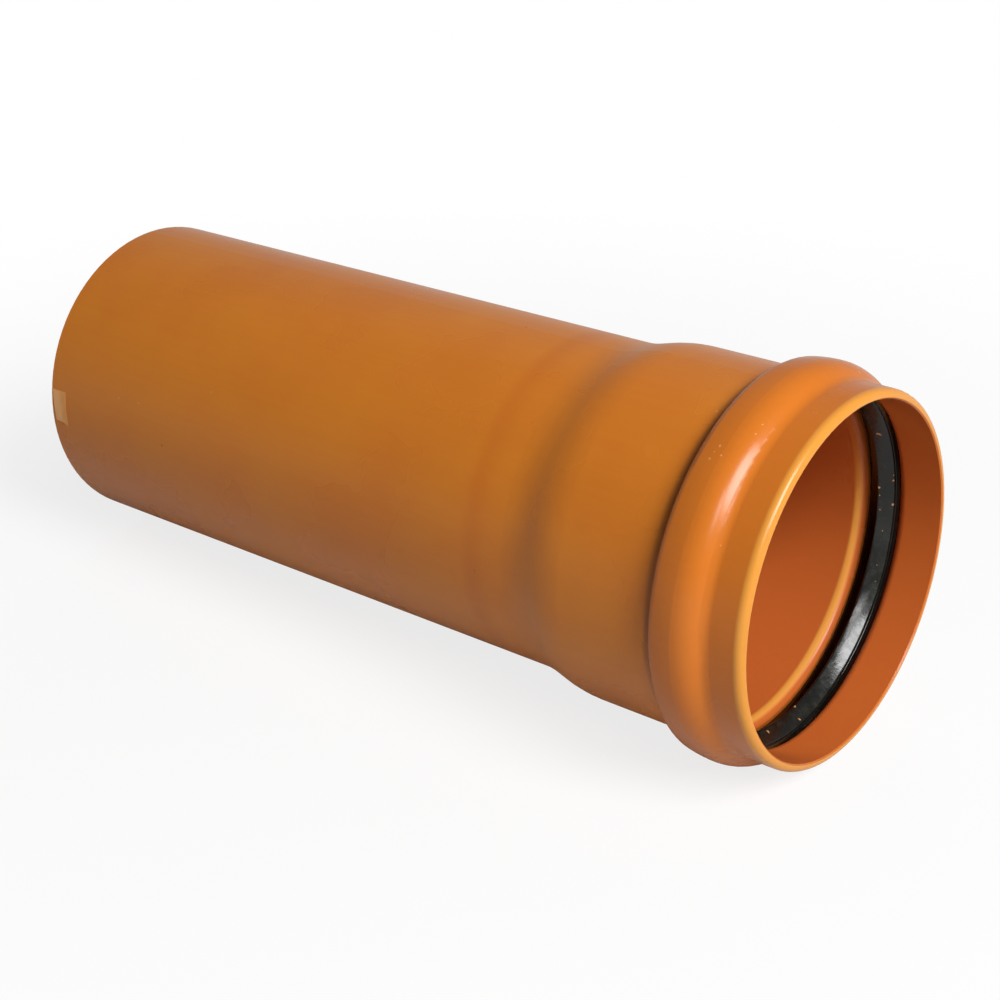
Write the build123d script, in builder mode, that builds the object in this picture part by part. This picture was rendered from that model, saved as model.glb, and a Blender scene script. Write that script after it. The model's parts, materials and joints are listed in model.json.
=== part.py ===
from build123d import *
import os
from math import acos, atan2, cos, degrees, hypot, radians, sin, sqrt, tan

# A short length of underground drain pipe with a formed socket and its rubber ring seal.
# Millimetres, +Z up. The pipe lies on a level floor with its socket's mouth towards +X,
# so it rests on the lower edge of its plain end and on the bead of its socket.
# The origin is on the floor, under the middle of the bounding box.

# Plain pipe
pipe_od = 110.0
pipe_wall = 3.4
overall_length = 303.4
spigot_edge_break = 0.5
bore_edge_break = 0.3

# Socket, formed from the same wall
socket_clearance = 0.4
socket_wall = 3.4
socket_length = 71.0
flare_angle = 15.0
flare_foot_radius = 39.0
flare_shoulder_radius = 40.0

# Bead round the socket, with the seal's groove inside it: flat behind its crest, round in front
bead_height = 5.3
bead_wall = 3.0
bead_crest_setback = 21.4
bead_front_radius = 10.3
bead_back_radius = 36.0
bead_back_reach = 9.2
bead_shoulder_share = 0.82
bead_foot_share = 0.34
groove_shoulder_share = 0.62

# Lip in front of the bead
mouth_clearance = 1.6
lip_wall = 3.0
lip_foot_radius = 4.2
groove_front_radius = 3.0
rim_outer_share = 0.76
rim_inner_share = 0.14

# Rubber ring seal, with its lip pressed back to where a joined pipe's plain end holds it
seal_seat_clearance = 0.2
seal_front_reach = 5.7
seal_front_standoff = 2.1
seal_crown_length = 2.7
seal_face_standoff = 0.65
seal_step_height = 0.2
seal_step_length = 0.35
seal_step_round_share = 0.4
seal_lip_clearance = 0.3
seal_lip_setback = 1.5
seal_lip_land = 3.1
seal_lip_thickness = 1.0
seal_lip_edge_share = 0.4
seal_undercut_depth = 6.7
seal_undercut_rise = 0.9
seal_undercut_width = 1.2

# Radii, and places along the pipe from its plain end, that follow from these sizes
pipe_r = pipe_od / 2
bore_r = pipe_r - pipe_wall
socket_inner_r = pipe_r + socket_clearance
socket_outer_r = socket_inner_r + socket_wall
lip_inner_r = pipe_r + mouth_clearance
lip_outer_r = lip_inner_r + lip_wall
flare_half_turn = tan(radians(flare_angle / 2))
flare_end_x = overall_length - socket_length
flare_start_x = flare_end_x - (socket_outer_r - pipe_r) / tan(radians(flare_angle))

# The bead's outside, its groove and the seal's back are arcs about the same two centres
crest_x = overall_length - bead_crest_setback
crest_r = socket_outer_r + bead_height
front_centre_r = crest_r - bead_front_radius
back_centre_r = crest_r - bead_back_radius
bead_back_x = crest_x - bead_back_reach
groove_back_x = bead_back_x + socket_wall


def front_place(r, depth):
    """Place along the pipe where the bead's front arc, set in by a depth, comes down to r."""
    return crest_x + sqrt((bead_front_radius - depth) ** 2 - (r - front_centre_r) ** 2)


def front_height(x, depth):
    """Distance from the pipe's axis, at x, of the bead's front arc, set in by a depth."""
    return front_centre_r + sqrt((bead_front_radius - depth) ** 2 - (x - crest_x) ** 2)


def back_height(x, depth):
    """Distance from the pipe's axis, at x, of the bead's back arc, set in by a depth."""
    return back_centre_r + sqrt((bead_back_radius - depth) ** 2 - (x - crest_x) ** 2)


# Rest: the floor touches the plain end's lower edge and the bead just behind its crest
reach_x = crest_x - spigot_edge_break
reach_r = pipe_r - back_centre_r
tilt = atan2(reach_x, reach_r) - acos(bead_back_radius / hypot(reach_x, reach_r))
axis_z = pipe_r * cos(tilt) - spigot_edge_break * sin(tilt)

# The box runs from the plain end's upper edge to the round of the rim, low on the mouth
rim_outer_radius = lip_wall * rim_outer_share
rim_inner_break = lip_wall * rim_inner_share
low_x = -(pipe_r - spigot_edge_break) * sin(tilt)
rim_centre_x = overall_length - rim_outer_radius
rim_centre_r = lip_outer_r - rim_outer_radius
high_x = rim_centre_x * cos(tilt) + rim_centre_r * sin(tilt) + rim_outer_radius
axis_x = -(low_x + high_x) / 2

# Sections are drawn beside the pipe's axis: x runs along it and y is the radius
section_plane = Plane(
    origin=(axis_x, 0, axis_z),
    x_dir=(cos(tilt), 0, sin(tilt)),
    z_dir=(0, -1, 0),
)
pipe_axis = Axis(section_plane.origin, section_plane.x_dir)
towards_mouth = (1, 0)
towards_spigot = (-1, 0)


def corner_of(section, point):
    """The section's corner at a point."""
    return section.vertices().sort_by_distance(point)[0]


# Pipe: one wall, turned from the plain end through the flare, bead and lip
spigot_outer = (0, pipe_r)
flare_start = (flare_start_x, pipe_r)
flare_end = (flare_end_x, socket_outer_r)
bead_foot = (bead_back_x, socket_outer_r)
bead_shoulder = (bead_back_x, back_height(bead_back_x, 0))
bead_top = (crest_x, crest_r)
lip_foot = (front_place(lip_outer_r, 0), lip_outer_r)
rim_outer = (overall_length, lip_outer_r)
rim_inner = (overall_length, lip_inner_r)
groove_front = (front_place(lip_inner_r, bead_wall), lip_inner_r)
groove_top = (crest_x, crest_r - bead_wall)
groove_corner = (groove_back_x, back_height(groove_back_x, bead_wall))
groove_shoulder = (groove_back_x, socket_inner_r)
socket_seat = (flare_end_x + socket_wall * flare_half_turn, socket_inner_r)
bore_end = (flare_start_x + pipe_wall * flare_half_turn, bore_r)
spigot_inner = (0, bore_r)

bead_wall_height = bead_shoulder[1] - socket_outer_r
groove_wall_height = groove_corner[1] - socket_inner_r
pipe_rounds = [
    (flare_start, flare_foot_radius),
    (flare_end, flare_shoulder_radius),
    (bead_foot, bead_wall_height * bead_foot_share),
    (bead_shoulder, bead_wall_height * bead_shoulder_share),
    (lip_foot, lip_foot_radius),
    (rim_outer, rim_outer_radius),
    (groove_front, groove_front_radius),
    (groove_shoulder, groove_wall_height * groove_shoulder_share),
    (socket_seat, flare_shoulder_radius - socket_wall),
    (bore_end, flare_foot_radius + pipe_wall),
]
pipe_edge_breaks = [
    (spigot_outer, spigot_edge_break),
    (spigot_inner, bore_edge_break),
    (rim_inner, rim_inner_break),
]

with BuildPart() as pipe:
    with BuildSketch(section_plane) as pipe_section:
        with BuildLine():
            Polyline(spigot_outer, flare_start, flare_end, bead_foot, bead_shoulder)
            TangentArc(bead_top, bead_shoulder, tangent=towards_spigot)
            TangentArc(bead_top, lip_foot, tangent=towards_mouth)
            Polyline(lip_foot, rim_outer, rim_inner, groove_front)
            TangentArc(groove_top, groove_front, tangent=towards_mouth)
            TangentArc(groove_top, groove_corner, tangent=towards_spigot)
            Polyline(groove_corner, groove_shoulder, socket_seat, bore_end, spigot_inner, spigot_outer)
        make_face()
        for point, radius in pipe_rounds:
            fillet(corner_of(pipe_section, point), radius=radius)
        for point, length in pipe_edge_breaks:
            chamfer(corner_of(pipe_section, point), length=length)
    revolve(axis=pipe_axis)

# Seal ring: a base that fills the groove, and a crowned face that leads in to a stepped lip
seal_depth = bead_wall + seal_seat_clearance
seal_front_x = crest_x + seal_front_reach
seal_back_x = groove_back_x + seal_seat_clearance
lip_tip_x = groove_back_x + seal_lip_setback
lip_tip_r = pipe_r + seal_lip_clearance
undercut_root_x = lip_tip_x + seal_undercut_depth
undercut_low_r = lip_tip_r + seal_lip_thickness + seal_undercut_rise
undercut_high_r = undercut_low_r + seal_undercut_width

seal_shoulder = (seal_front_x, front_height(seal_front_x, seal_depth))
seal_front_edge = (seal_front_x, lip_tip_r + seal_front_standoff)
seal_crown = (seal_front_x - seal_crown_length, lip_tip_r + seal_face_standoff)
seal_step_foot = (lip_tip_x + seal_lip_land, lip_tip_r)
seal_step_top = (seal_step_foot[0] + seal_step_length, lip_tip_r + seal_step_height)
seal_face_lean = (seal_crown[0] - seal_step_top[0], seal_crown[1] - seal_step_top[1])
seal_lip_inner = (lip_tip_x, lip_tip_r)
seal_lip_outer = (lip_tip_x, lip_tip_r + seal_lip_thickness)
undercut_low = (undercut_root_x, undercut_low_r)
undercut_high = (undercut_root_x, undercut_high_r)
seal_heel_low = (seal_back_x, undercut_high_r)
seal_heel_high = (seal_back_x, back_height(seal_back_x, seal_depth))
seal_top = (crest_x, crest_r - seal_depth)

with BuildPart() as seal_ring:
    with BuildSketch(section_plane) as seal_section:
        with BuildLine():
            Line(seal_shoulder, seal_front_edge)
            TangentArc(seal_crown, seal_front_edge, tangent=seal_face_lean)
            Polyline(seal_crown, seal_step_top, seal_step_foot, seal_lip_inner, seal_lip_outer)
            Polyline(seal_lip_outer, undercut_low, undercut_high, seal_heel_low, seal_heel_high)
            TangentArc(seal_top, seal_heel_high, tangent=towards_spigot)
            TangentArc(seal_top, seal_shoulder, tangent=towards_mouth)
        make_face()
        fillet(corner_of(seal_section, seal_step_top), radius=seal_step_height * seal_step_round_share)
        fillet(corner_of(seal_section, seal_lip_inner), radius=seal_lip_thickness * seal_lip_edge_share)
    revolve(axis=pipe_axis)

os.makedirs("parts", exist_ok=True)
pipe.part.label = "pipe"
seal_ring.part.label = "seal_ring"
export_step(pipe.part, "parts/pipe.step")
export_step(seal_ring.part, "parts/seal_ring.step")

print(f"rest tilt {degrees(tilt):.3f} degrees, axis from x {axis_x:.3f}, z {axis_z:.3f}")
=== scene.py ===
import json
from math import atan2, cos, pi, radians, sin

import bmesh
import bpy
from bpy.props import FloatProperty, FloatVectorProperty, PointerProperty
from bpy.types import Operator, Panel, PropertyGroup
from mathutils import Euler, Matrix, Vector


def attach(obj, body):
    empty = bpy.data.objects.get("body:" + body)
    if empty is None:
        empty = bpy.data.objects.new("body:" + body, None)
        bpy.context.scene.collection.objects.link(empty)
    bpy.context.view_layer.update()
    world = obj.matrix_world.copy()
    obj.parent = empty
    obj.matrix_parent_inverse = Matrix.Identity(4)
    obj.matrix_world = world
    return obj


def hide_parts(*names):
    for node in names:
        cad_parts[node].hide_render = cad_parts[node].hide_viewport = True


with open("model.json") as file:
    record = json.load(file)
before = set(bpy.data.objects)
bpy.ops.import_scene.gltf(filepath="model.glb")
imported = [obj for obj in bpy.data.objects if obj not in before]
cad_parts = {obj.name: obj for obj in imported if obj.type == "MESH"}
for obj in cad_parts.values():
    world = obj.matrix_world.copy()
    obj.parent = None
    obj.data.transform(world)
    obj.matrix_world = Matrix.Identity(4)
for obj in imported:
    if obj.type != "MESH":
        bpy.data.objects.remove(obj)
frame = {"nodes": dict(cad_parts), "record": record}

bl_info = {
    "name": "Underground drain pipe finish",
    "version": (1, 0, 0),
    "blender": (4, 5, 0),
    "location": "View3D > Sidebar > Drain Pipe",
    "description": "Gives a drain pipe its plastic, its rubber seal, a scrap of tape and a studio",
    "category": "Object",
}

MM = 0.001
MERGE_REACH = 0.001 * MM
SHARP_ANGLE = radians(30)
WHITE = (1.0, 1.0, 1.0, 1.0)

# Noise scales per metre, and the parts of a noise's range that are used
DRIFT_SCALE = 22.0
LINE_SCALE = 520.0
LINE_STRETCH = (0.03, 1.0, 1.0)
PLASTIC_GRAIN_SCALE = 1400.0
BLOOM_SCALE = 260.0
RUBBER_GRAIN_SCALE = 900.0
GLUE_SCALE = 260.0
RAGGED_SCALE = 900.0
RAGGED_REACH = 0.9 * MM
MID_RANGE = (0.3, 0.7)
LINE_RANGE = (0.35, 0.75)

# How far each mark covers the plastic or the rubber under it, from 0 to 1
FORMED_COVER = 0.8
LINE_COVER = 0.07
INSIDE_LINE_COVER = 0.05
HEAT_COVER, HEAT_TAIL_COVER = 0.26, 0.05
# Painted shade in the crease behind the bead, where the bead shades the socket
CREASE_SHADE_COVER = 0.44
SPECK_COVER = 0.7
# Painted light along the groove's back edge, and the share of it left at the top, which lies in shade
FOLD_LIGHT_COVER, FOLD_LIGHT_TOP_SHARE = 0.75, 0.15
# Painted shade inside the seal's groove
GROOVE_SHADE_COVER = 0.9
NICK_COVER = 0.36
FLECK_COVER = 0.3
DUST_COVER = 0.3

# Changes of roughness
DRIFT_ROUGHNESS = (-0.03, 0.04)
FORMED_ROUGHNESS = -0.06
FOLD_ROUGHNESS = 0.65
BLOOM_ROUGHNESS = (-0.05, 0.10)
CLEAN_RUBBER_SHARE = 0.6

# Specular levels
PLASTIC_GLOSS = 0.33
RUBBER_GLOSS = 0.48
FILM_GLOSS = 0.3

# Floor, in metres: its half width, and how far from its middle its shadow and its gloss fade out
FLOOR_HALF = 4.0
FLOOR_PALENESS = 0.9
SHADOW_FADE = (0.15, 0.5)
SHADOW_LIFT = 0.8
GLOSS_FADE = (0.3, 0.7)

# Soft boxes that face the pipe: heading and height in degrees, and the box's own size in metres
SOFT_BOXES = {
    "broad_light": (-12.5, 40.0, (1.05, 1.05)),
    "near_light": (-42.0, 38.0, (0.25, 0.7)),
    "back_light": (135.0, 32.0, (1.2, 1.2)),
}
SOFT_BOX_TARGET = Vector((0.05, 0.0, 0.064))
SOFT_BOX_AWAY = 2.0

SENSOR_WIDTH = 36.0
CLIP_START = 0.01

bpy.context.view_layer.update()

# The pipe's own axes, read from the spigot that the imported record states.
# Places on the pipe are (along, turn, radius): along from the plain end towards the mouth,
# and turn from the top of the pipe towards the near side.
mounts = {mount["name"]: mount for mount in frame["record"]["mounts"]}
spigot = mounts["spigot"]
pipe_axis = -Vector(spigot["axis"])
pipe_tilt = atan2(pipe_axis.z, pipe_axis.x)
pipe_radius = spigot["dims"]["r_mm"] * MM
spigot_edge_break = 0.5 * MM
spigot_half = spigot["dims"]["length_mm"] * MM / 2
plain_end = Vector(spigot["pos_m"]) - pipe_axis * (spigot_half + spigot_edge_break)
pipe_turn = Euler((0, -pipe_tilt, 0))
pipe_frame = Matrix.Translation(plain_end) @ pipe_turn.to_matrix().to_4x4()

# Marks listed one by one: along, radius and reach in millimetres, and turn in degrees
PIPE_NICKS = (
    # along, turn, radius, reach
    (280.0, 35.5, 64.0, 0.50),
    (279.0, 39.5, 64.0, 0.40),
    (281.9, 38.0, 64.1, 0.35),
    (279.5, 37.5, 64.0, 0.35),
    (268.5, 21.5, 58.8, 0.45),
    (287.2, 25.0, 62.7, 0.40),
    (287.2, 28.5, 62.7, 0.40),
    (288.4, -24.0, 61.8, 0.55),
    (290.8, 60.0, 60.0, 0.25),
    (36.8, 75.5, 55.0, 0.45),
    (47.3, 75.0, 55.0, 0.40),
)
PIPE_SPECKS = (
    (59.8, 88.0, 55.0, 0.50),
)
SEAL_SWARF = (
    (283.4, -60.6, 55.2, 0.50),
    (283.8, -61.0, 55.5, 0.60),
    (284.1, -61.7, 55.7, 0.45),
    (285.8, -81.5, 56.9, 0.45),
    (282.0, -84.0, 54.2, 0.50),
    (285.8, -90.5, 56.9, 0.60),
    (282.1, -87.0, 54.3, 0.35),
    (282.6, -92.3, 54.6, 0.30),
    (286.0, -79.5, 57.0, 0.30),
    (283.8, -100.0, 55.5, 0.30),
    (284.2, -112.0, 55.8, 0.30),
    (283.0, 169.0, 54.9, 0.65),
    (281.9, -172.5, 54.1, 0.50),
    (285.2, -175.0, 56.4, 0.55),
)

# The rubber ring's section with its lip free, in millimetres: the back fills the groove, and
# the face slopes in from the groove's front to the lip, which stands inside a plain end's reach
SEAL_SECTION = (
    # along, radius, rounding
    (276.5, 60.3, 0.0),
    (282.0, 60.9, 0.0),
    (285.2, 60.0, 0.0),
    (287.6, 58.0, 0.2),
    (286.3, 57.8, 0.15),
    (286.0, 57.0, 0.3),
    (281.7, 54.0, 0.35),
    (281.1, 54.9, 0.35),
    (284.2, 57.1, 0.3),
    (284.2, 58.4, 0.3),
    (276.5, 58.4, 0.3),
)


def on_pipe(along, turn, radius):
    """A point in the pipe's own axes."""
    return Vector((along, -radius * sin(turn), radius * cos(turn)))


class PipeFinish(PropertyGroup):
    """Looks of the plastic wall."""

    deep_colour: FloatVectorProperty(
        name="Deep colour",
        description="Redder of the two tones that drift over the plastic",
        subtype="COLOR", size=3, min=0, max=1, default=(0.62, 0.181, 0.0155),
    )
    light_colour: FloatVectorProperty(
        name="Light colour",
        description="Yellower of the two tones that drift over the plastic",
        subtype="COLOR", size=3, min=0, max=1, default=(0.65, 0.207, 0.0175),
    )
    formed_colour: FloatVectorProperty(
        name="Formed colour",
        description="Redder tone of the bead and the lip",
        subtype="COLOR", size=3, min=0, max=1, default=(0.595, 0.158, 0.015),
    )
    heat_colour: FloatVectorProperty(
        name="Heat colour",
        description="Heat mark round the pipe where the socket's forming began",
        subtype="COLOR", size=3, min=0, max=1, default=(0.50, 0.100, 0.010),
    )
    inside_colour: FloatVectorProperty(
        name="Inside colour",
        description="Tone of the bore and of the socket's inside",
        subtype="COLOR", size=3, min=0, max=1, default=(0.525, 0.122, 0.024),
    )
    # Painted light on the mouth's cut edge, which faces the lamps
    rim_light_colour: FloatVectorProperty(
        name="Rim colour",
        description="Paler cut edge of the mouth",
        subtype="COLOR", size=3, min=0, max=1, default=(0.71, 0.285, 0.04),
    )
    # Painted light on the groove's back edge, which catches the lamps
    fold_light_colour: FloatVectorProperty(
        name="Fold colour",
        description="Lighter plastic along the back edge of the seal's groove",
        subtype="COLOR", size=3, min=0, max=1, default=(0.76, 0.345, 0.05),
    )
    # Painted shade in the crease behind the bead and inside the seal's groove, and the colour of dark
    # dirt specks
    shade_and_speck_colour: FloatVectorProperty(
        name="Grime colour",
        description="Dirt in the crease behind the bead, and dark specks",
        subtype="COLOR", size=3, min=0, max=1, default=(0.10, 0.030, 0.006),
    )
    nick_colour: FloatVectorProperty(
        name="Nick colour",
        description="Pale bruise where the skin is nicked",
        subtype="COLOR", size=3, min=0, max=1, default=(0.92, 0.62, 0.28),
    )
    roughness: FloatProperty(
        name="Roughness",
        description="Mean roughness of the satin skin",
        subtype="FACTOR", min=0, max=1, default=0.285,
    )
    heat_place: FloatProperty(
        name="Heat place",
        description="Distance of the heat mark from the plain end",
        subtype="DISTANCE", unit="LENGTH", default=0.2005,
    )
    crease_place: FloatProperty(
        name="Crease place",
        description="Distance of the crease behind the bead from the plain end",
        subtype="DISTANCE", unit="LENGTH", default=0.2711,
    )
    fold_place: FloatProperty(
        name="Fold place",
        description="Distance of the groove's back edge from the plain end",
        subtype="DISTANCE", unit="LENGTH", default=0.2737,
    )
    # Painted shade: past this distance the seal's groove is painted dark, as it lies in shadow
    groove_radius: FloatProperty(
        name="Groove radius",
        description="Distance from the pipe's axis past which the seal's groove is dirty",
        subtype="DISTANCE", unit="LENGTH", default=0.0582,
    )
    rim_place: FloatProperty(
        name="Rim place",
        description="Where the mouth's cut edge begins, from the plain end",
        subtype="DISTANCE", unit="LENGTH", default=0.3007,
    )


class SealFinish(PropertyGroup):
    """Looks of the rubber ring."""

    # Painted shade: the lip and the seat lie in shadow and stay darker than the face
    lip_shade_colour: FloatVectorProperty(
        name="Lip colour",
        description="Black of the clean rubber on the lip and at the seat",
        subtype="COLOR", size=3, min=0, max=1, default=(0.003, 0.003, 0.002),
    )
    face_colour: FloatVectorProperty(
        name="Face colour",
        description="Black of the handled face",
        subtype="COLOR", size=3, min=0, max=1, default=(0.005, 0.0055, 0.004),
    )
    bloom_colour: FloatVectorProperty(
        name="Bloom colour",
        description="Dull olive bloom and handling marks on the face",
        subtype="COLOR", size=3, min=0, max=1, default=(0.013, 0.0135, 0.010),
    )
    swarf_colour: FloatVectorProperty(
        name="Swarf colour",
        description="Plastic swarf that sticks to the rubber",
        subtype="COLOR", size=3, min=0, max=1, default=(0.48, 0.25, 0.09),
    )
    roughness: FloatProperty(
        name="Roughness",
        description="Mean roughness of the rubber's face",
        subtype="FACTOR", min=0, max=1, default=0.20,
    )
    face_start: FloatProperty(
        name="Face start",
        description="Where the handled face begins, from the plain end",
        subtype="DISTANCE", unit="LENGTH", default=0.2821,
    )
    face_end: FloatProperty(
        name="Face end",
        description="Where the handled face ends at the seat, from the plain end",
        subtype="DISTANCE", unit="LENGTH", default=0.2862,
    )


class TapeScrap(PropertyGroup):
    """Size and place of the scrap of tape."""

    length: FloatProperty(
        name="Length", description="Length along the pipe",
        subtype="DISTANCE", unit="LENGTH", default=0.0070,
    )
    width: FloatProperty(
        name="Width", description="Width round the pipe",
        subtype="DISTANCE", unit="LENGTH", default=0.0120,
    )
    thickness: FloatProperty(
        name="Thickness", description="Thickness of film and glue",
        subtype="DISTANCE", unit="LENGTH", default=0.00007,
    )
    setback: FloatProperty(
        name="Setback", description="Distance from the plain end",
        subtype="DISTANCE", unit="LENGTH", default=0.0011,
    )
    slant: FloatProperty(
        name="Slant", description="How far the edge beside the plain end leans towards the mouth",
        subtype="DISTANCE", unit="LENGTH", default=0.0009,
    )
    corner_pull: FloatProperty(
        name="Corner pull", description="How far the lower corner is pulled out",
        subtype="DISTANCE", unit="LENGTH", default=0.0014,
    )
    turn: FloatProperty(
        name="Turn", description="Place round the pipe, from its top to the near side",
        subtype="ANGLE", unit="ROTATION", default=radians(86.4),
    )
    film_colour: FloatVectorProperty(
        name="Film colour", description="Pale film where it lies close",
        subtype="COLOR", size=3, min=0, max=1, default=(0.88, 0.45, 0.17),
    )
    glue_colour: FloatVectorProperty(
        name="Glue colour", description="Film that lets the pipe show through",
        subtype="COLOR", size=3, min=0, max=1, default=(0.76, 0.33, 0.085),
    )


class StudioSettings(PropertyGroup):
    """Camera and light."""

    camera_place: FloatVectorProperty(
        name="Camera place", description="Where the camera stands",
        subtype="TRANSLATION", unit="LENGTH", size=3, default=(0.4001, -0.46931, 0.35033),
    )
    camera_pitch: FloatProperty(
        name="Camera pitch", description="How far the camera looks down",
        subtype="ANGLE", unit="ROTATION", default=radians(26.325),
    )
    camera_heading: FloatProperty(
        name="Camera heading", description="Turn of the camera about the vertical",
        subtype="ANGLE", unit="ROTATION", default=radians(39.28),
    )
    focal_length: FloatProperty(
        name="Focal length", description="Focal length on a 36 mm sensor",
        subtype="DISTANCE_CAMERA", unit="CAMERA", default=71.51,
    )
    broad_power: FloatProperty(
        name="Broad power", description="Power of the broad soft box in front of the mouth",
        unit="POWER", default=46.5,
    )
    near_power: FloatProperty(
        name="Near power", description="Power of the tall soft box on the camera's side",
        unit="POWER", default=5.6,
    )
    back_power: FloatProperty(
        name="Back power", description="Power of the soft box behind the plain end",
        unit="POWER", default=4.0,
    )
    fill_strength: FloatProperty(
        name="Fill strength", description="Light from all round",
        min=0, default=0.06,
    )
    horizon_gloss: FloatProperty(
        name="Horizon gloss", description="How bright the backdrop shows in reflections",
        subtype="FACTOR", min=0, max=1, default=0.50,
    )
    ceiling_gloss: FloatProperty(
        name="Ceiling gloss", description="How bright the room overhead shows in reflections",
        subtype="FACTOR", min=0, max=1, default=0.25,
    )
    floor_gloss: FloatProperty(
        name="Floor gloss", description="White share of the floor close by in reflections",
        subtype="FACTOR", min=0, max=1, default=0.04,
    )
    floor_bounce: FloatProperty(
        name="Floor bounce", description="Share of the light that the floor gives back to the pipe",
        subtype="FACTOR", min=0, max=1, default=0.60,
    )


class NodeSheet:
    """Adds nodes to a tree, with their settings and what feeds them."""

    # Places of a Mix node's colour sockets
    MIX_FIRST, MIX_SECOND, MIX_RESULT = 6, 7, 2

    def __init__(self, tree):
        self.tree = tree
        tree.nodes.clear()

    def feed(self, socket, value):
        """Links another node's output to a socket, or sets the socket's value."""
        if isinstance(value, bpy.types.NodeSocket):
            self.tree.links.new(value, socket)
        else:
            socket.default_value = value

    def add(self, kind, feeds=None, **settings):
        """A new node."""
        node = self.tree.nodes.new(kind)
        for name, value in settings.items():
            setattr(node, name, value)
        for name, value in (feeds or {}).items():
            self.feed(node.inputs[name], value)
        return node

    def math(self, operation, *values):
        """One output of a Math node."""
        return self.add("ShaderNodeMath", dict(enumerate(values)), operation=operation).outputs[0]

    def vector(self, operation, *values):
        """A Vector Math node."""
        return self.add("ShaderNodeVectorMath", dict(enumerate(values)), operation=operation)

    def ramp(self, value, low, high, to_low=0.0, to_high=1.0):
        """A value taken smoothly from one range to another."""
        feeds = {"Value": value, "From Min": low, "From Max": high, "To Min": to_low, "To Max": to_high}
        return self.add("ShaderNodeMapRange", feeds, interpolation_type="SMOOTHSTEP").outputs["Result"]

    def mix(self, factor, first, second):
        """One colour turned into another by a factor."""
        feeds = {"Factor": factor, self.MIX_FIRST: first, self.MIX_SECOND: second}
        return self.add("ShaderNodeMix", feeds, data_type="RGBA").outputs[self.MIX_RESULT]

    def noise(self, place, scale, detail=2.0, roughness=0.5):
        """A Noise Texture node."""
        feeds = {"Vector": place, "Scale": scale, "Detail": detail, "Roughness": roughness}
        return self.add("ShaderNodeTexNoise", feeds)

    def group(self, tree, feeds=None):
        """A node group with what feeds it."""
        return self.add("ShaderNodeGroup", feeds, node_tree=tree)


def new_group(name, inputs, outputs):
    """An empty node group with named sockets."""
    tree = bpy.data.node_groups.new(name, "ShaderNodeTree")
    for label, kind in inputs:
        tree.interface.new_socket(label, in_out="INPUT", socket_type=kind)
    for label, kind in outputs:
        tree.interface.new_socket(label, in_out="OUTPUT", socket_type=kind)
    sheet = NodeSheet(tree)
    return tree, sheet, sheet.add("NodeGroupInput"), sheet.add("NodeGroupOutput")


FLOAT, VECTOR = "NodeSocketFloat", "NodeSocketVector"


def pipe_place_group():
    """Place in the pipe's own axes, distance along and from them, and how far a surface faces out."""
    if "Pipe place" in bpy.data.node_groups:
        return bpy.data.node_groups["Pipe place"]
    outputs = (("Place", VECTOR), ("Along", FLOAT), ("Radius", FLOAT), ("Outward", FLOAT))
    tree, sheet, _, out = new_group("Pipe place", (), outputs)
    coordinates = sheet.add("ShaderNodeTexCoord")
    place = sheet.add(
        "ShaderNodeMapping",
        {"Vector": coordinates.outputs["Object"], "Location": plain_end, "Rotation": pipe_turn},
        vector_type="TEXTURE",
    ).outputs[0]
    facing = sheet.add(
        "ShaderNodeMapping",
        {"Vector": coordinates.outputs["Normal"], "Rotation": pipe_turn},
        vector_type="TEXTURE",
    ).outputs[0]
    across = sheet.vector("MULTIPLY", place, (0.0, 1.0, 1.0)).outputs[0]
    away = sheet.vector("NORMALIZE", across).outputs[0]
    parts = sheet.add("ShaderNodeSeparateXYZ", {0: place})
    sheet.feed(out.inputs["Place"], place)
    sheet.feed(out.inputs["Along"], parts.outputs["X"])
    sheet.feed(out.inputs["Radius"], sheet.vector("LENGTH", across).outputs["Value"])
    sheet.feed(out.inputs["Outward"], sheet.vector("DOT_PRODUCT", facing, away).outputs["Value"])
    return tree


def ragged(sheet, place):
    """Places pushed about a little, so that a mark's edge is uneven."""
    wobble = sheet.noise(place, RAGGED_SCALE, 1.0)
    bend = sheet.vector("SUBTRACT", wobble.outputs["Color"], (0.5, 0.5, 0.5)).outputs[0]
    shift = sheet.vector("MULTIPLY", bend, (RAGGED_REACH, RAGGED_REACH, RAGGED_REACH)).outputs[0]
    return sheet.vector("ADD", place, shift).outputs[0]


def fleck_group():
    """Sparse small flecks: a mask that is 1 in the middle of each."""
    if "Flecks" in bpy.data.node_groups:
        return bpy.data.node_groups["Flecks"]
    inputs = (("Place", VECTOR), ("Spacing", FLOAT), ("Size", FLOAT), ("Share", FLOAT))
    tree, sheet, given, out = new_group("Flecks", inputs, (("Mask", FLOAT),))
    scale = sheet.math("DIVIDE", 1.0, given.outputs["Spacing"])
    bent = ragged(sheet, given.outputs["Place"])
    cells = sheet.add("ShaderNodeTexVoronoi", {"Vector": bent, "Scale": scale})
    draw = sheet.add("ShaderNodeSeparateColor", {0: cells.outputs["Color"]})
    chosen = sheet.math("LESS_THAN", draw.outputs["Red"], given.outputs["Share"])
    reach = sheet.math("MULTIPLY", given.outputs["Size"], draw.outputs["Green"])
    reach = sheet.math("MULTIPLY", reach, scale)
    edge = sheet.math("MULTIPLY", reach, 0.5)
    spot = sheet.ramp(cells.outputs["Distance"], edge, reach, 1.0, 0.0)
    sheet.feed(out.inputs["Mask"], sheet.math("MULTIPLY", spot, chosen))
    return tree


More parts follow.
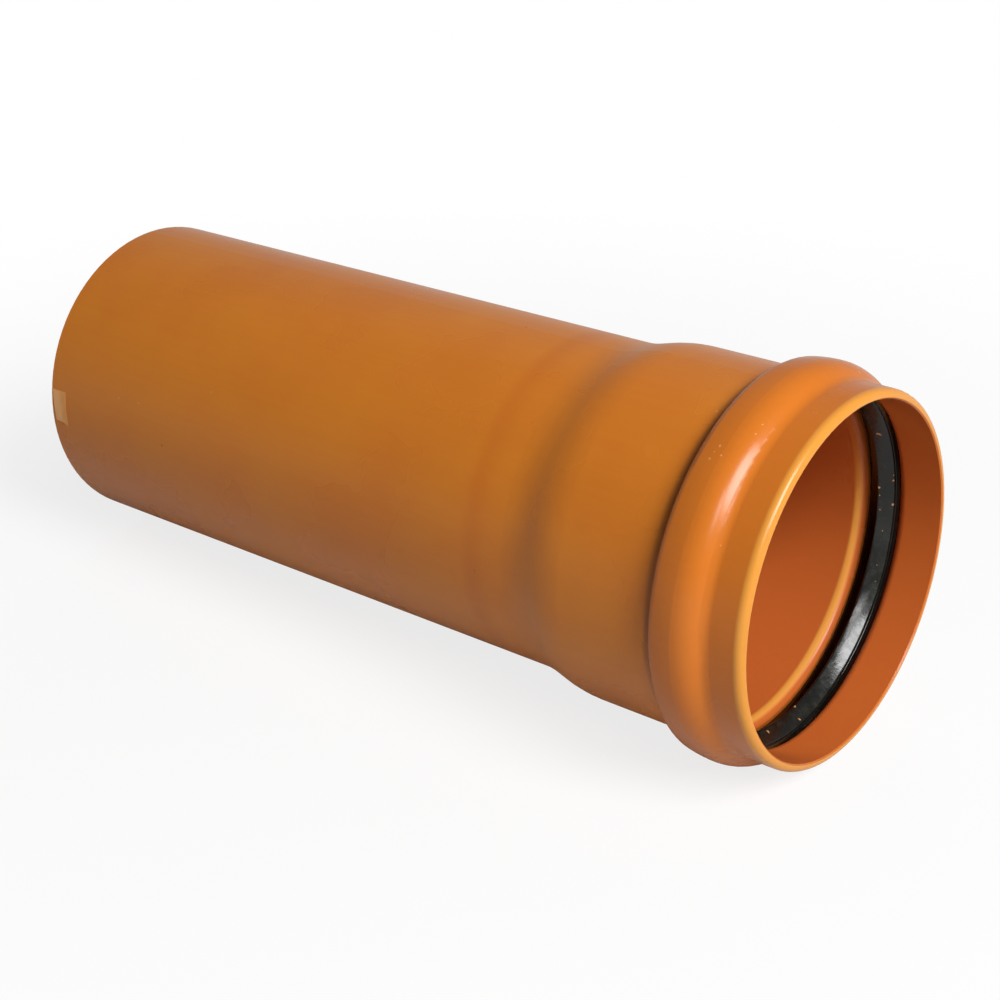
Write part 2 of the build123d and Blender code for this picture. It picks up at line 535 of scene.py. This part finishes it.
def spot_group():
    """One uneven spot about a place."""
    if "Spot" in bpy.data.node_groups:
        return bpy.data.node_groups["Spot"]
    inputs = (("Place", VECTOR), ("Middle", VECTOR), ("Reach", FLOAT))
    tree, sheet, given, out = new_group("Spot", inputs, (("Mask", FLOAT),))
    bent = ragged(sheet, given.outputs["Place"])
    away = sheet.vector("DISTANCE", bent, given.outputs["Middle"]).outputs["Value"]
    edge = sheet.math("MULTIPLY", given.outputs["Reach"], 0.4)
    sheet.feed(out.inputs["Mask"], sheet.ramp(away, edge, given.outputs["Reach"], 1.0, 0.0))
    return tree


def marks(sheet, place, spots):
    """A mask of listed spots."""
    cover = 0.0
    for along, turn, radius, reach in spots:
        middle = on_pipe(along * MM, radians(turn), radius * MM)
        spot = sheet.group(spot_group(), {"Place": place, "Middle": middle, "Reach": reach * MM})
        cover = sheet.math("MAXIMUM", spot.outputs["Mask"], cover)
    return cover


def solid(colour):
    """A colour with full cover."""
    return (*colour, 1.0)


def new_material(name):
    """A material with an empty sheet."""
    material = bpy.data.materials.new(name)
    material.use_nodes = True
    return material, NodeSheet(material.node_tree)


def finish_material(sheet, shader):
    """Joins the shader to the material's output."""
    sheet.add("ShaderNodeOutputMaterial", {"Surface": shader.outputs[0]})


def pipe_plastic(finish):
    """Satin orange-brown plastic: drifting tone, drawing lines, nicks, a heat mark, painted light on the
    rim and the groove's back edge, and painted shade in the crease and the groove.
    """
    material, sheet = new_material("pipe_plastic_satin")
    here = sheet.group(pipe_place_group())
    place, along, radius = here.outputs["Place"], here.outputs["Along"], here.outputs["Radius"]
    outward = here.outputs["Outward"]
    outside = sheet.ramp(outward, -0.25, 0.05)

    drift = sheet.noise(place, DRIFT_SCALE, 3.0, 0.55).outputs["Fac"]
    tone = sheet.ramp(drift, *MID_RANGE)
    colour = sheet.mix(tone, solid(finish.deep_colour), solid(finish.light_colour))
    formed = sheet.ramp(along, finish.crease_place, finish.crease_place + 2 * MM, 0.0, FORMED_COVER)
    colour = sheet.mix(formed, colour, solid(finish.formed_colour))

    drawn = sheet.add("ShaderNodeMapping", {"Vector": place, "Scale": LINE_STRETCH})
    lines = sheet.noise(drawn.outputs[0], LINE_SCALE, 4.0, 0.6).outputs["Fac"]
    colour = sheet.mix(sheet.ramp(lines, *LINE_RANGE, 0.0, LINE_COVER), colour, solid(finish.heat_colour))

    # The heat mark comes on sharply towards the plain end and fades out towards the flare
    past_heat = sheet.math("SUBTRACT", along, finish.heat_place)
    heat_start = sheet.ramp(past_heat, -5 * MM, 0.0)
    heat_fade = sheet.ramp(past_heat, 0.0, 8 * MM, HEAT_COVER, HEAT_TAIL_COVER)
    heat_end = sheet.ramp(past_heat, 10 * MM, 30 * MM, 1.0, 0.0)
    heat = sheet.math("MULTIPLY", sheet.math("MULTIPLY", heat_start, heat_fade), heat_end)
    colour = sheet.mix(heat, colour, solid(finish.heat_colour))

    # Painted shade in the crease behind the bead, where the bead shades the socket; the specks are dirt
    off_crease = sheet.math("ABSOLUTE", sheet.math("SUBTRACT", along, finish.crease_place))
    crease_shade_and_specks = sheet.ramp(off_crease, 0.4 * MM, 2.8 * MM, CREASE_SHADE_COVER, 0.0)
    specks = sheet.math("MULTIPLY", marks(sheet, place, PIPE_SPECKS), SPECK_COVER)
    crease_shade_and_specks = sheet.math("MAXIMUM", crease_shade_and_specks, specks)
    colour = sheet.mix(crease_shade_and_specks, colour, solid(finish.shade_and_speck_colour))

    inside_lines = sheet.ramp(lines, *LINE_RANGE, 0.0, INSIDE_LINE_COVER)
    inside = sheet.mix(inside_lines, solid(finish.inside_colour), solid(finish.heat_colour))
    # The seal's groove: painted light and matt along its lower back edge, where it catches the lamps, and
    # painted shade inside it
    off_fold = sheet.math("ABSOLUTE", sheet.math("SUBTRACT", along, finish.fold_place))
    level = sheet.add("ShaderNodeSeparateXYZ", {0: place}).outputs["Z"]
    # The painted light fades towards the top, which lies in shade
    low_down = sheet.ramp(level, -10 * MM, 25 * MM, 1.0, FOLD_LIGHT_TOP_SHARE)
    lit_fold = sheet.math("MULTIPLY", sheet.ramp(off_fold, 0.6 * MM, 1.7 * MM, FOLD_LIGHT_COVER, 0.0), low_down)
    lit_fold = sheet.math("MULTIPLY", lit_fold, sheet.ramp(outside, 0.0, 1.0, 1.0, 0.0))
    inside = sheet.mix(lit_fold, inside, solid(finish.fold_light_colour))
    # Painted shade inside the seal's groove, behind the seal
    past_groove = sheet.math("SUBTRACT", radius, finish.groove_radius)
    groove = sheet.ramp(past_groove, -0.4 * MM, 0.4 * MM, 0.0, GROOVE_SHADE_COVER)
    inside = sheet.mix(groove, inside, solid(finish.shade_and_speck_colour))
    colour = sheet.mix(outside, inside, colour)
    # Painted light on the mouth's cut edge, which faces the lamps
    rim = sheet.ramp(along, finish.rim_place - 0.5 * MM, finish.rim_place + 0.5 * MM)
    rim = sheet.math("MULTIPLY", rim, sheet.ramp(outward, -0.8, -0.4))
    colour = sheet.mix(rim, colour, solid(finish.rim_light_colour))

    flecks = sheet.group(
        fleck_group(), {"Place": place, "Spacing": 16 * MM, "Size": 0.9 * MM, "Share": 0.3}
    )
    faint = sheet.math("MULTIPLY", flecks.outputs[0], FLECK_COVER)
    nicks = sheet.math("MAXIMUM", faint, marks(sheet, place, PIPE_NICKS))
    colour = sheet.mix(sheet.math("MULTIPLY", nicks, NICK_COVER), colour, solid(finish.nick_colour))

    grain = sheet.noise(place, PLASTIC_GRAIN_SCALE).outputs["Fac"]
    height = sheet.math("MULTIPLY_ADD", lines, 0.5, sheet.math("MULTIPLY", grain, 0.25))
    height = sheet.math("SUBTRACT", height, sheet.math("MULTIPLY", nicks, 0.5))
    bump = sheet.add("ShaderNodeBump", {"Height": height, "Strength": 0.1, "Distance": 0.2 * MM})

    # The formed end is smoother than the drawn pipe, and the groove's back edge is matt
    smoother, rougher = DRIFT_ROUGHNESS
    skin = sheet.ramp(drift, *MID_RANGE, finish.roughness + smoother, finish.roughness + rougher)
    skin = sheet.math("MULTIPLY_ADD", formed, FORMED_ROUGHNESS, skin)
    shader = sheet.add("ShaderNodeBsdfPrincipled", {
        "Base Color": colour,
        "Roughness": sheet.math("MULTIPLY_ADD", lit_fold, FOLD_ROUGHNESS, skin),
        "Normal": bump.outputs[0],
        "Specular IOR Level": PLASTIC_GLOSS,
    })
    finish_material(sheet, shader)
    return material


def seal_rubber(finish):
    """Black rubber: a handled face with a dull bloom and swarf, between a clean lip and seat that stay
    darker as painted shade, since they lie in shadow.
    """
    material, sheet = new_material("seal_rubber_black")
    here = sheet.group(pipe_place_group())
    place, along = here.outputs["Place"], here.outputs["Along"]
    face = sheet.math(
        "MULTIPLY",
        sheet.ramp(along, finish.face_start - 0.2 * MM, finish.face_start + 0.2 * MM),
        sheet.ramp(along, finish.face_end - 0.4 * MM, finish.face_end + 0.4 * MM, 1.0, 0.0),
    )
    bloom = sheet.noise(place, BLOOM_SCALE, 5.0, 0.65).outputs["Fac"]
    dulled = sheet.ramp(bloom, 0.40, 0.72)
    handled = sheet.mix(dulled, solid(finish.face_colour), solid(finish.bloom_colour))
    # Painted shade: the lip and the seat lie in shadow and stay darker than the face
    colour = sheet.mix(face, solid(finish.lip_shade_colour), handled)

    dust = sheet.group(
        fleck_group(), {"Place": place, "Spacing": 3.6 * MM, "Size": 0.65 * MM, "Share": 0.16}
    )
    dust = sheet.math("MULTIPLY", sheet.math("MULTIPLY", dust.outputs[0], face), DUST_COVER)
    swarf = sheet.math("MAXIMUM", dust, marks(sheet, place, SEAL_SWARF))
    colour = sheet.mix(swarf, colour, solid(finish.swarf_colour))

    grain = sheet.noise(place, RUBBER_GRAIN_SCALE, 3.0).outputs["Fac"]
    height = sheet.math("ADD", grain, swarf)
    bump = sheet.add("ShaderNodeBump", {"Height": height, "Strength": 0.12, "Distance": 0.3 * MM})
    smoother, rougher = BLOOM_ROUGHNESS
    skin = sheet.ramp(bloom, *MID_RANGE, finish.roughness + smoother, finish.roughness + rougher)
    skin = sheet.math("MULTIPLY", skin, sheet.ramp(face, 0.0, 1.0, CLEAN_RUBBER_SHARE, 1.0))
    shader = sheet.add("ShaderNodeBsdfPrincipled", {
        "Base Color": colour,
        "Roughness": skin,
        "Normal": bump.outputs[0],
        "Specular IOR Level": RUBBER_GLOSS,
    })
    finish_material(sheet, shader)
    return material


def tape_film(scrap):
    """Pale film with uneven glue under it."""
    material, sheet = new_material("tape_film_pale")
    here = sheet.group(pipe_place_group())
    place, along = here.outputs["Place"], here.outputs["Along"]
    glue = sheet.noise(place, GLUE_SCALE, 3.0).outputs["Fac"]
    close_end, loose_end = scrap.setback + scrap.length * 0.45, scrap.setback + scrap.length
    across = sheet.ramp(along, close_end, loose_end, 0.0, 0.5)
    cover = sheet.ramp(sheet.math("ADD", glue, across), 0.4, 0.95)
    shader = sheet.add("ShaderNodeBsdfPrincipled", {
        "Base Color": sheet.mix(cover, solid(scrap.film_colour), solid(scrap.glue_colour)),
        "Roughness": sheet.ramp(glue, *MID_RANGE, 0.3, 0.45),
        "Specular IOR Level": FILM_GLOSS,
    })
    finish_material(sheet, shader)
    return material


def set_material(piece, material):
    """Puts one material on a piece."""
    for slot in piece.material_slots:
        slot.material = material
    if not piece.material_slots:
        piece.data.materials.append(material)


def new_piece(name, mesh_shape):
    """An object at the origin, from a finished bmesh."""
    mesh = bpy.data.meshes.new(name)
    for face in mesh_shape.faces:
        face.smooth = True
    mesh_shape.to_mesh(mesh)
    mesh_shape.free()
    mesh.set_sharp_from_angle(angle=SHARP_ANGLE)
    piece = bpy.data.objects.new(name, mesh)
    bpy.context.scene.collection.objects.link(piece)
    return piece


class DRAINPIPE_OT_finish_pipe(Operator):
    """Give the pipe its satin plastic"""

    bl_idname = "drainpipe.finish_pipe"
    bl_label = "Finish Pipe"

    def execute(self, context):
        set_material(frame["nodes"]["pipe"], pipe_plastic(context.scene.pipe_finish))
        return {"FINISHED"}


class DRAINPIPE_OT_add_seal(Operator):
    """Put the ring seal in its groove, with its lip free"""

    bl_idname = "drainpipe.add_seal"
    bl_label = "Add Seal"

    steps = 200
    round_steps = 3

    def execute(self, context):
        shape = bmesh.new()
        corners = [
            shape.verts.new(on_pipe(along * MM, 0, radius * MM)) for along, radius, _ in SEAL_SECTION
        ]
        shape.faces.new(corners)
        for corner, (_, _, rounding) in zip(corners, SEAL_SECTION):
            if rounding:
                bmesh.ops.bevel(
                    shape, geom=[corner], offset=rounding * MM, segments=self.round_steps,
                    profile=0.5, affect="VERTICES", material=-1,
                )
        bmesh.ops.delete(shape, geom=shape.faces[:], context="FACES_ONLY")
        bmesh.ops.spin(
            shape, geom=shape.verts[:] + shape.edges[:], cent=(0, 0, 0), axis=(1, 0, 0),
            angle=2 * pi, steps=self.steps, use_merge=True,
        )
        bmesh.ops.remove_doubles(shape, verts=shape.verts[:], dist=MERGE_REACH)
        bmesh.ops.recalc_face_normals(shape, faces=shape.faces[:])
        shape.transform(pipe_frame)
        seal = new_piece("seal_ring_free_lip", shape)
        set_material(seal, seal_rubber(context.scene.seal_finish))
        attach(seal, "root")
        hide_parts("seal_ring")
        return {"FINISHED"}


class DRAINPIPE_OT_add_tape(Operator):
    """Stick a scrap of pale tape near the plain end"""

    bl_idname = "drainpipe.add_tape"
    bl_label = "Add Tape"

    rows = 10
    steps = 16
    lift = 0.02 * MM

    def execute(self, context):
        scrap = context.scene.tape_scrap
        span = scrap.width / pipe_radius
        first = scrap.turn - span / 2
        top = pipe_radius + self.lift + scrap.thickness
        shape = bmesh.new()
        row = []
        for index in range(self.rows + 1):
            along = scrap.setback + scrap.length * index / self.rows
            row.append(shape.verts.new(on_pipe(along, first, top)))
        edges = [shape.edges.new(pair) for pair in zip(row, row[1:])]
        bmesh.ops.spin(
            shape, geom=row + edges, cent=(0, 0, 0), axis=(1, 0, 0),
            angle=span, steps=self.steps, use_merge=False,
        )
        bmesh.ops.remove_doubles(shape, verts=shape.verts[:], dist=MERGE_REACH)
        self.tear(shape, scrap, first, span)
        bmesh.ops.recalc_face_normals(shape, faces=shape.faces[:])
        bmesh.ops.solidify(shape, geom=shape.faces[:], thickness=scrap.thickness)
        shape.transform(pipe_frame)
        tape = new_piece("tape_scrap", shape)
        set_material(tape, tape_film(scrap))
        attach(tape, "root")
        return {"FINISHED"}

    def tear(self, shape, scrap, first, span):
        """Leans the edge beside the plain end and pulls the lower corner out."""
        for vert in shape.verts:
            down = (atan2(-vert.co.y, vert.co.z) - first) / span
            out = (vert.co.x - scrap.setback) / scrap.length
            vert.co.x += scrap.slant * down * (1 - out)
            pull = scrap.corner_pull / pipe_radius * down * out ** 4
            bmesh.ops.rotate(shape, verts=[vert], cent=(0, 0, 0), matrix=Matrix.Rotation(pull, 3, "X"))


class DRAINPIPE_OT_set_stage(Operator):
    """Set the floor, the lights and the camera"""

    bl_idname = "drainpipe.set_stage"
    bl_label = "Set Stage"

    def execute(self, context):
        studio = context.scene.studio_settings
        self.add_floor(studio)
        self.add_world(studio)
        self.add_lights(studio)
        self.add_camera(studio)
        context.scene.view_settings.view_transform = "Standard"
        return {"FINISHED"}

    def rays(self, sheet):
        """What the camera sees, straight or through something, and what it sees in a gloss."""
        rays = sheet.add("ShaderNodeLightPath")
        seen = sheet.math("MAXIMUM", rays.outputs["Is Camera Ray"], rays.outputs["Is Transmission Ray"])
        return seen, rays.outputs["Is Glossy Ray"]

    def add_floor(self, studio):
        """A pale floor that is white to the camera and keeps the pipe's shadow."""
        shape = bmesh.new()
        bmesh.ops.create_grid(shape, x_segments=1, y_segments=1, size=FLOOR_HALF)
        floor = new_piece("studio_floor", shape)
        material, sheet = new_material("floor_white")
        seen, mirrored = self.rays(sheet)
        coordinates = sheet.add("ShaderNodeTexCoord")
        away = sheet.vector("LENGTH", coordinates.outputs["Object"]).outputs["Value"]
        lift = sheet.math("MULTIPLY", seen, sheet.ramp(away, *SHADOW_FADE, SHADOW_LIFT, 1.0))
        gloss = sheet.ramp(away, *GLOSS_FADE, studio.floor_gloss, studio.horizon_gloss)
        lift = sheet.math("MAXIMUM", lift, sheet.math("MULTIPLY", mirrored, gloss))
        paleness = sheet.ramp(seen, 0.0, 1.0, studio.floor_bounce, FLOOR_PALENESS)
        matt = sheet.add("ShaderNodeBsdfDiffuse", {"Color": paleness})
        white = sheet.add("ShaderNodeEmission", {"Color": WHITE, "Strength": 1.0})
        mixed = sheet.add("ShaderNodeMixShader", {0: lift, 1: matt.outputs[0], 2: white.outputs[0]})
        finish_material(sheet, mixed)
        set_material(floor, material)

    def add_world(self, studio):
        """Even light from all round; white to the camera, and in a gloss dimmer towards the top."""
        world = bpy.data.worlds.new("studio_world")
        world.use_nodes = True
        sheet = NodeSheet(world.node_tree)
        coordinates = sheet.add("ShaderNodeTexCoord")
        height = sheet.add("ShaderNodeSeparateXYZ", {0: coordinates.outputs["Generated"]}).outputs["Z"]
        seen, mirrored = self.rays(sheet)
        room = sheet.ramp(height, 0.0, 0.5, studio.horizon_gloss, studio.ceiling_gloss)
        feeds = {"Factor": mirrored, "A": studio.fill_strength, "B": room}
        strength = sheet.add("ShaderNodeMix", feeds).outputs["Result"]
        strength = sheet.math("MAXIMUM", strength, seen)
        background = sheet.add("ShaderNodeBackground", {"Color": WHITE, "Strength": strength})
        sheet.add("ShaderNodeOutputWorld", {"Surface": background.outputs[0]})
        bpy.context.scene.world = world

    def add_lights(self, studio):
        """A broad soft box in front of the mouth, a tall one on the camera's side, and one behind."""
        self.add_soft_box("broad_light", studio.broad_power)
        self.add_soft_box("near_light", studio.near_power)
        # Hidden from gloss, so that it puts no sheen on the pipe's top
        self.add_soft_box("back_light", studio.back_power).visible_glossy = False

    def add_soft_box(self, name, power):
        """An area light that faces the pipe from its heading and height."""
        heading, height, size = SOFT_BOXES[name]
        light = bpy.data.lights.new(name, "AREA")
        light.shape, light.energy = "ELLIPSE", power
        light.size, light.size_y = size
        turn, rise = radians(heading), radians(height)
        direction = Vector((cos(rise) * cos(turn), cos(rise) * sin(turn), sin(rise)))
        lamp = bpy.data.objects.new(name, light)
        lamp.location = SOFT_BOX_TARGET + direction * SOFT_BOX_AWAY
        lamp.rotation_euler = direction.to_track_quat("Z", "Y").to_euler()
        bpy.context.scene.collection.objects.link(lamp)
        return lamp

    def add_camera(self, studio):
        """The photograph's viewpoint."""
        camera = bpy.data.cameras.new("camera")
        camera.sensor_width, camera.lens = SENSOR_WIDTH, studio.focal_length
        camera.clip_start = CLIP_START
        stand = bpy.data.objects.new("camera", camera)
        stand.location = studio.camera_place
        stand.rotation_euler = (pi / 2 - studio.camera_pitch, 0.0, studio.camera_heading)
        bpy.context.scene.collection.objects.link(stand)
        bpy.context.scene.camera = stand


class DRAINPIPE_PT_sidebar(Panel):
    """Sizes, colours and steps of the drain pipe"""

    bl_idname = "DRAINPIPE_PT_sidebar"
    bl_label = "Drain Pipe"
    bl_space_type = "VIEW_3D"
    bl_region_type = "UI"
    bl_category = "Drain Pipe"

    def draw(self, context):
        for setting in SETTINGS:
            box = self.layout.box()
            group = getattr(context.scene, setting)
            for name in group.bl_rna.properties.keys():
                if name not in {"rna_type", "name"}:
                    box.prop(group, name)
        for step in STEPS:
            self.layout.operator(step.bl_idname)


SETTINGS = {
    "pipe_finish": PipeFinish,
    "seal_finish": SealFinish,
    "tape_scrap": TapeScrap,
    "studio_settings": StudioSettings,
}
STEPS = (
    DRAINPIPE_OT_finish_pipe,
    DRAINPIPE_OT_add_seal,
    DRAINPIPE_OT_add_tape,
    DRAINPIPE_OT_set_stage,
)
CLASSES = (*SETTINGS.values(), *STEPS, DRAINPIPE_PT_sidebar)


def register():
    for kind in CLASSES:
        bpy.utils.register_class(kind)
    for name, kind in SETTINGS.items():
        setattr(bpy.types.Scene, name, PointerProperty(type=kind))


def unregister():
    for name in SETTINGS:
        delattr(bpy.types.Scene, name)
    for kind in reversed(CLASSES):
        bpy.utils.unregister_class(kind)


def main():
    register()
    bpy.ops.drainpipe.finish_pipe()
    bpy.ops.drainpipe.add_seal()
    bpy.ops.drainpipe.add_tape()
    bpy.ops.drainpipe.set_stage()


if __name__ == "__main__":
    main()
